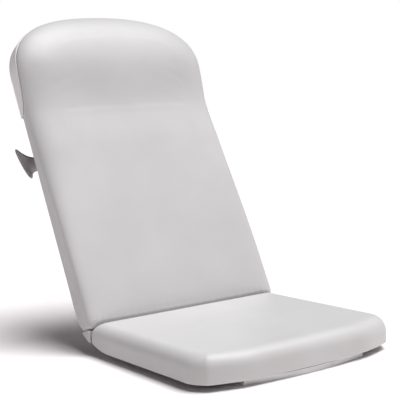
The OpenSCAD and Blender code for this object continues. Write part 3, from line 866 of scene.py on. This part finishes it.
def wedge_section(inset, inner, spread):
    """Section of the corner piece, as Y and Z from the hinge axis; it fans out from inner.

    The fan fills the corner's opening, and reaches past it by spread on each side.
    """
    pivot = np.array([HINGE_Y, -HINGE_D])
    line = CORNER_LINE - pivot
    turn = np.arctan2(line[:, 0], -line[:, 1])
    reach = np.linalg.norm(line, axis=1)
    opening = math.pi / 2 - LEAN
    samples = np.linspace(0, 1, 15)
    margin = math.radians(2.0) - spread
    outer_turn = margin + (opening - 2 * margin) * samples
    bulge = 1.6 * np.sin(np.pi * samples)
    outer_reach = np.interp(outer_turn, turn, reach) - 1.6 + bulge - inset
    side_margin = margin + math.radians(7.0) * max(0, 1 - (inner - 3) / 22)
    inner_turn = side_margin + (opening - 2 * side_margin) * samples
    inner_reach = inner + inset * 0.6
    shrink = math.atan2(inset, 18)
    outer_turn = np.clip(outer_turn, shrink + margin, opening - shrink - margin)
    inner_turn = np.clip(inner_turn, shrink + margin, opening - shrink - margin)
    outer = np.column_stack([np.sin(outer_turn), -np.cos(outer_turn)]) * outer_reach[:, None]
    inner_arc = np.column_stack([np.sin(inner_turn), -np.cos(inner_turn)]) * inner_reach
    steps = np.linspace(0, 1, 7)[1:-1, None]
    up_back = outer[-1] + (inner_arc[-1] - outer[-1]) * steps
    down_seat = inner_arc[0] + (outer[0] - inner_arc[0]) * steps
    return np.vstack([outer, up_back, inner_arc[::-1], down_seat])


def make_corner_piece():
    """Padded strip that fills the outer corner, with a plump lobe at each end."""
    # Places along the piece: X, how far the section is drawn in, where its fan starts, and its spread
    lobe_end, lobe_r = SEAT_HALF + 3.4, 3.2
    lobe_spread = math.radians(11)
    right = []
    for a in np.radians([90, 68, 46, 24, 0]):
        drawn_in = 1.3 * lobe_r * (1 - math.cos(a))
        right.append((lobe_end - lobe_r * (1 - math.sin(a)), drawn_in, 4.5, lobe_spread))
    right += [(SEAT_HALF - 0.2, 0.6, 4, 0.6 * lobe_spread), (SEAT_HALF - 1.6, 1.2, 3.5, 0)]
    right += [(228, 0, 3.5, 0), (222, 0, 4.5, 0), (216, 0, 11, 0), (205, 0, 11, 0), (190, 0, 11, 0)]
    right += [(x, 0, 11, 0) for x in range(170, 50, -20)]
    right += [(48, 0, 13, 0), (42, 0, 19, 0), (36, 0, 22.4, 0), (20, 0, 22.4, 0), (0, 0, 22.4, 0)]
    left = [(-x, *section) for x, *section in right[-2::-1]]
    places = right + left
    points, faces = [], []
    pivot = np.array([HINGE_Y, -HINGE_D])
    for x, inset, inner, spread in places:
        section = wedge_section(inset, inner, spread) + pivot
        points += [(x, y, z) for y, z in section]
    count = len(points) // len(places)
    for i in range(len(places) - 1):
        for k in range(count):
            a, b = i * count + k, i * count + (k + 1) % count
            faces.append((a, b, b + count, a + count))
    # Each end is closed by a fan to a raised middle
    for start, plump in ((0, 1.6), (len(places) * count - count, -1.6)):
        middle = len(points)
        ring = np.array(points[start : start + count])
        points.append(tuple(ring.mean(0) + [plump, 0, 0]))
        faces += [(start + k, start + (k + 1) % count, middle) for k in range(count)]
    piece = add_piece("corner_piece", seat_to_row(points), faces)
    subdivide(piece)
    finish_piece(piece, "gusset_vinyl")
    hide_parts("hinge_gusset")
    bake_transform(piece)
    return piece


# ---------- head cap ----------


def cap_rim(u):
    """Depth of the cap's front rim at height u; it keeps just behind the cushion's rounded edge."""
    q = np.clip((CAP_LOW + 43 - u) / 43, 0, 1)
    rear = THICK + CAP_GAP / 2
    highest = np.maximum(rear - 44, back_front(u) + edge_depth(u) + 1)
    return rear - (rear - highest) * np.sqrt(1 - q**2)


def cap_loop(out):
    """Loop round the head end, standing out by out from the cushion, as X and height."""
    base = BACK_LEN - HEAD_H
    w = BACK_HALF + out
    lower = CAP_LOW + 43 * (1 - np.cos(np.radians(np.linspace(0, 90, 40))))
    heights = np.concatenate([lower, np.linspace(CAP_LOW + 43, base, 20)[1:]])
    straight = np.column_stack([np.full(len(heights), w), heights])
    angles = np.radians(np.linspace(0, 90, 91))
    arc = np.column_stack([
        w * np.cos(angles) ** HEAD_POWER,
        base + (HEAD_H + out) * np.sin(angles) ** HEAD_POWER,
    ])
    arc[-1, 0] = 0
    lower_side = resampled(straight[:40], 26)
    upper_side = resampled(np.vstack([straight[39:], arc[1:46]]), 34)
    side = np.vstack([lower_side, upper_side[1:]])
    quarter = arc[45:]
    top = resampled(np.vstack([quarter, quarter[-2::-1] * [-1, 1]]), ACROSS)
    bottom = np.column_stack([np.linspace(-w, w, ACROSS + 1), np.full(ACROSS + 1, CAP_LOW)])
    return closed_loop(bottom, side, top)


LIP_R = 1.3
CAP_REAR = THICK + CAP_GAP + CAP_T


def at_foot(loop):
    """Which points are on the cap's straight lower edge."""
    return loop[:, 1] <= CAP_LOW + 0.01


def lip_ring(out, forward):
    """Ring of the rolled lip, standing out and forward of the cap's rim."""
    loop = cap_loop(out)
    rim = cap_rim(loop[:, 1])
    flange = np.clip((THICK - rim) / 8, 0, 1)
    depth = np.minimum(rim - forward * flange, THICK + CAP_GAP)
    return with_depth(loop, np.where(at_foot(loop), THICK + CAP_GAP, depth))


def make_head_cap():
    """Moulded shell round the head end, with a rolled bright lip along its front rim."""
    inside = THICK + CAP_GAP
    rings = [with_depth(cap_loop(CAP_GAP - inset), inside) for inset in (30, 3)]
    for part in (0.0, 0.35, 0.7):
        loop = cap_loop(CAP_GAP)
        rim = np.minimum(cap_rim(loop[:, 1]) + 3, inside)
        rings.append(with_depth(loop, inside * (1 - part) + rim * part))
    rings.append(lip_ring(CAP_GAP, 0))
    for a in np.radians(range(20, 181, 20)):
        rings.append(lip_ring(CAP_GAP + LIP_R * (1 - math.cos(a)), LIP_R * math.sin(a)))
    for back, out in ((1.2, 0.75), (2.4, 0.35), (3.8, 0.3)):
        loop = cap_loop(CAP_T + out)
        depth = np.minimum(cap_rim(loop[:, 1]) + back, CAP_REAR - 4)
        rings.append(with_depth(loop, np.where(at_foot(loop), inside + 0.2, depth)))
    for part in (0.35, 0.7, 1.0):
        loop = cap_loop(CAP_T + CAP_GAP)
        start = np.minimum(cap_rim(loop[:, 1]) + 3.8, CAP_REAR - 4)
        start = np.where(at_foot(loop), inside + 0.4, start)
        rings.append(with_depth(loop, start + (CAP_REAR - 3.5 - start) * part))
    edge_r = 5
    for a in np.radians([20, 40, 60, 80, 90]):
        out = CAP_T + CAP_GAP - edge_r * (1 - math.cos(a))
        rings.append(with_depth(cap_loop(out), CAP_REAR - 3.5 + 3.5 * math.sin(a)))

    def crowned(points):
        w = np.abs(points[:, 0]) / BACK_HALF
        h = np.clip((BACK_LEN - points[:, 1]) / (BACK_LEN - CAP_LOW), 0, 1)
        points[:, 2] = CAP_REAR + 2.2 * (1 - w**2) * np.sin(np.pi * h) ** 0.8
        return points

    piece, _, _ = closed_form("head_cap", rings, ACROSS, back_to_row, crowned)
    finish_piece(piece, "cap_shell", "backrest")
    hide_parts("head_rear_cap")
    return piece


# ---------- rear panel ----------


def make_rear_panel():
    """Vinyl-covered panel in the recess behind the back, with a welt sewn round its edge."""
    recess = THICK - 1.3
    rings = []
    # Welt and seam: how far in from the side, and how high
    welt = [(27.4, 0.0), (26.6, 0.0), (26.2, 0.4), (26.1, 1.4), (26.4, 2.6), (27.3, 3.3)]
    welt += [(28.5, 3.4), (29.6, 2.9), (30.2, 1.9), (31.0, 1.5), (33.0, 1.7)]
    for inset, rise in welt:
        rings.append(with_depth(back_loop(inset, 0, back_low(THICK) + inset), recess + rise))

    def crowned(points):
        w = np.abs(points[:, 0]) / (BACK_HALF - 33)
        h = np.clip((points[:, 1] - 68) / (CAP_LOW - 68), 0, 1)
        points[:, 2] = recess + 1.7 + 1.1 * (1 - w**4) * np.sin(np.pi * h) ** 0.6
        return points

    piece, form, _ = closed_form("rear_panel", rings, ACROSS, back_to_row, crowned)
    # Under the cap the panel lies flat against the board
    under = smooth((form[:, 1] - (CAP_LOW - 14)) / 10)
    form[:, 2] = form[:, 2] * (1 - under) + np.minimum(form[:, 2], THICK - 0.2) * under
    move_vertices(piece, back_to_row(form))
    cut_room(piece, PADDLE_ROOM)
    finish_piece(piece, "rear_panel", "backrest")
    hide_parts("back_rear_panel")
    return piece


# ---------- dust cloth ----------


def make_dust_cloth():
    """Felt stapled under the seat, with tension lines that run in from its edge."""
    low = -THICK
    hem = [(36, 1.0), (31.8, 1.1), (31.0, 0.9), (31.2, 0.3), (33, -0.1), (36, 0.1)]
    rings = [with_depth(seat_loop(inset, 0, low), low + rise) for inset, rise in hem]

    def sagging(points):
        x, y = points[:, 0], points[:, 1] + SEAT_DEPTH / 2
        edge = np.maximum(np.abs(x) / (SEAT_HALF - 36), np.abs(y) / (SEAT_DEPTH / 2 - 36))
        lines = 0.25 * np.sin(x / 6.5) * np.sin(y / 7.5) * smooth((edge - 0.75) * 4)
        points[:, 2] = low + 0.1 - 0.5 * (1 - np.clip(edge, 0, 1) ** 2) + lines
        return points

    def lining(points):
        points[:, 2] = sagging(points)[:, 2] + 0.9
        return points

    piece, form, _ = closed_form("dust_cloth", rings, ACROSS, seat_to_row, sagging, lining)
    finish_piece(piece, "dust_cloth", "seat")
    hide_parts("seat_bottom_cloth")
    return piece


# ---------- paddle ----------


def make_paddle():
    """Trumpet-shaped release paddle: a hub on the pin, a narrow neck and a dished oval plate."""
    # Depth, height, half height, half width, tilt, shift outwards, and turn to the side
    hub = [(-11.5, 0, 3, 3, 0, 0, 0), (-11, 0, 6.5, 6, 0, 0, 0), (-3, 0, 8.5, 6.5, 0, 0, 0)]
    neck = [
        (2, 0, 12, 8.5, 0, 0, 0),
        (14, 1, 14, 9, 0, 2, 0.2),
        (27, 4, 16, 9, 0.05, 7, 0.45),
        (39, 9, 18.5, 9.5, 0.1, 14, 0.62),
        (47, 13.5, 23, 12, 0.15, 19.5, 0.75),
        (52, 16.5, 29.5, 16, 0.19, 23.5, 0.8),
        (54.6, 18, 35.5, 20, 0.21, 26, 0.82),
    ]
    # The plate's sections differ only in depth, half height, half width and shift
    plate = [
        (55.8, 38, 22, 27.4),
        (57, 38.2, 22, 29.2),
        (57.6, 37, 20.8, 30),
        (57, 34.5, 18.8, 29.4),
        (55.4, 27, 14, 27),
        (54.2, 18, 8, 25.4),
        (53.8, 6, 3, 24.8),
    ]
    plate = [(depth, 18.5, high, wide, 0.21, shift, 0.82) for depth, high, wide, shift in plate]
    sections = hub + neck + plate
    smooth_sections = spline(sections, 4)
    turns = 56
    points, faces = [], []
    for depth, height, high, wide, tilt, shift, turn in smooth_sections:
        for k in range(turns):
            a = 2 * math.pi * k / turns
            across = wide * math.copysign(abs(math.cos(a)) ** 0.85, math.cos(a))
            rise = high * math.sin(a)
            x = PADDLE_X - shift + across * math.cos(turn) - tilt * rise * math.sin(turn)
            v = THICK + depth + across * math.sin(turn) + tilt * rise * math.cos(turn)
            points.append((x, PADDLE_U + height + rise, v))
    for i in range(len(smooth_sections) - 1):
        for k in range(turns):
            a, b = i * turns + k, i * turns + (k + 1) % turns
            faces.append((a, b, b + turns, a + turns))
    for start in (0, (len(smooth_sections) - 1) * turns):
        middle = len(points)
        points.append(tuple(np.mean(points[start : start + turns], axis=0)))
        faces += [(start + k, start + (k + 1) % turns, middle) for k in range(turns)]
    piece = add_piece("paddle", back_to_row(points), faces)
    finish_piece(piece, "paddle_plastic", "paddle")
    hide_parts("release_paddle")
    return piece


# ---------- carried-over CAD pieces ----------


def dress_cad_nodes():
    """Gives each CAD node its slot's material, and rounds the edges of the rigid ones."""
    soft = {"foam", "gasket_rubber", "cable_black", "dust_cloth"}
    for name, node in frame["nodes"].items():
        slot = node.material_slots[0].name.split(".")[0]
        node.data.materials.clear()
        node.data.materials.append(MATERIALS[slot])
        if slot == "foam":
            # The foam's skin is drawn in a little under its stretched cover
            node.modifiers.new("weld", "WELD").merge_threshold = 0.00001
            pressed = node.modifiers.new("pressed", "DISPLACE")
            pressed.strength = -0.0028
            pressed.mid_level = 0
        if slot in soft or node.hide_render:
            continue
        weld = node.modifiers.new("weld", "WELD")
        weld.merge_threshold = 0.00001
        bevel = node.modifiers.new("bevel", "BEVEL")
        bevel.width = 0.0003
        bevel.segments = 2
        bevel.limit_method = "ANGLE"
        bevel.angle_limit = math.radians(40)


# ---------- scene ----------

add_camera()
add_stage()
add_sky()
add_sun()
set_view()
MATERIALS = make_materials()
make_back_cushion()
make_seat_cushion()
make_corner_piece()
make_head_cap()
make_rear_panel()
make_dust_cloth()
make_paddle()
dress_cad_nodes()
